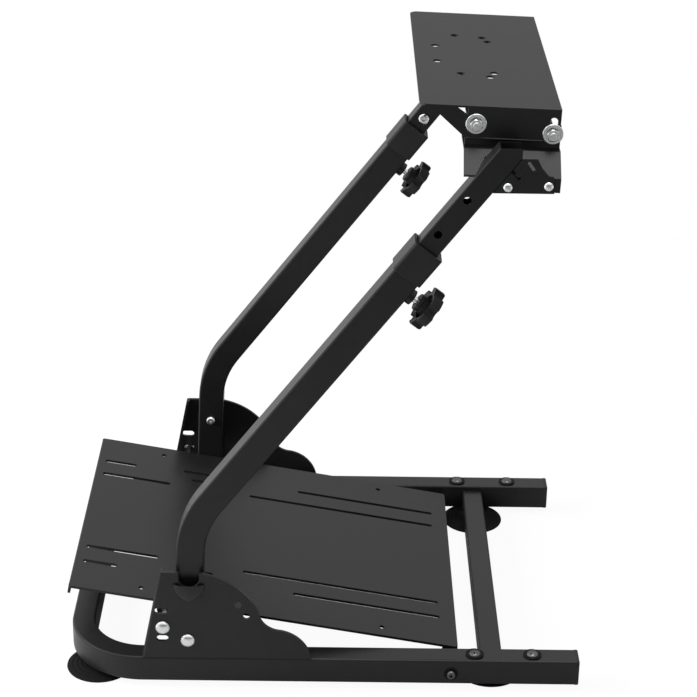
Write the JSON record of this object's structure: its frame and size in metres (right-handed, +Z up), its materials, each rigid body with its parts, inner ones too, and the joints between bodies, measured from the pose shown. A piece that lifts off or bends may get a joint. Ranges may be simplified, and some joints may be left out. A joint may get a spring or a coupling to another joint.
{
  "type": "racing wheel stand",
  "caption": "Folding black steel stand that holds a game steering wheel on a small raised plate and its pedals on a slotted sloping plate.",
  "frame": {"origin": "centre of the footprint, on the floor", "axes": "+X along the rails to the driver, +Y to the driver's right, +Z up"},
  "size_m": [0.6532, 0.5, 0.7598],
  "materials": {
    "black_powder_coat": "fine satin powder coat on steel",
    "black_plastic": "moulded, lightly satin",
    "black_rubber": "moulded, matt",
    "zinc_steel": "bright zinc plate",
    "black_steel": "blackened steel, a little glossy"
  },
  "bodies": {
    "base": {"base_frame": "black_powder_coat", "cross_bar": "black_powder_coat", "rail_end_caps": "black_plastic", "front_left_foot": "black_rubber", "front_right_foot": "black_rubber", "rear_left_foot": "black_rubber", "rear_right_foot": "black_rubber", "left_side_bracket": "black_powder_coat", "right_side_bracket": "black_powder_coat", "pedal_plate": "black_powder_coat", "pedal_height_bolts": "zinc_steel", "pedal_pivot_bolts": "black_steel", "upright_pivot_bolts": "zinc_steel", "rail_top_bolts": "black_steel"},
    "uprights": {"left_upright": "black_powder_coat", "right_upright": "black_powder_coat", "left_collar": "black_plastic", "right_collar": "black_plastic", "left_clamp_nut": "black_powder_coat", "right_clamp_nut": "black_powder_coat", "upright_lock_bolts": "zinc_steel"},
    "slide_top": {"left_inner_tube": "black_powder_coat", "right_inner_tube": "black_powder_coat", "left_gusset": "black_powder_coat", "right_gusset": "black_powder_coat", "slide_stop_screws": "zinc_steel", "tray": "black_powder_coat", "tray_bolts": "zinc_steel", "tilt_pivot_bolts": "zinc_steel", "tilt_lock_bolts": "zinc_steel"},
    "wheel_plate": {"wheel_plate": "black_powder_coat"},
    "left_knob": {"left_clamp_knob": "black_plastic", "left_clamp_screw": "zinc_steel"},
    "right_knob": {"right_clamp_knob": "black_plastic", "right_clamp_screw": "zinc_steel"}
  },
  "joints": [
    {"name": "upright_fold", "type": "hinge", "parent": "base", "child": "uprights", "pos_m": [-0.1685, 0, 0.0704], "axis": [0, 1, 0], "range_deg": [0, 48.8]},
    {"name": "height_slide", "type": "slide", "parent": "uprights", "child": "slide_top", "axis": [0.6074, 0, 0.7944], "range_m": [-0.008, 0.09]},
    {"name": "wheel_plate_tilt", "type": "hinge", "parent": "slide_top", "child": "wheel_plate", "pos_m": [0.16896, 0, 0.73675], "axis": [0, 1, 0], "range_deg": [-2, 3]},
    {"name": "left_knob_turn", "type": "hinge", "parent": "uprights", "child": "left_knob", "pos_m": [0.11324, -0.2199, 0.52143], "axis": [0.7944, 0, -0.6074], "continuous": true},
    {"name": "right_knob_turn", "type": "hinge", "parent": "uprights", "child": "right_knob", "pos_m": [0.11324, 0.2199, 0.52143], "axis": [0.7944, 0, -0.6074], "continuous": true}
  ]
}
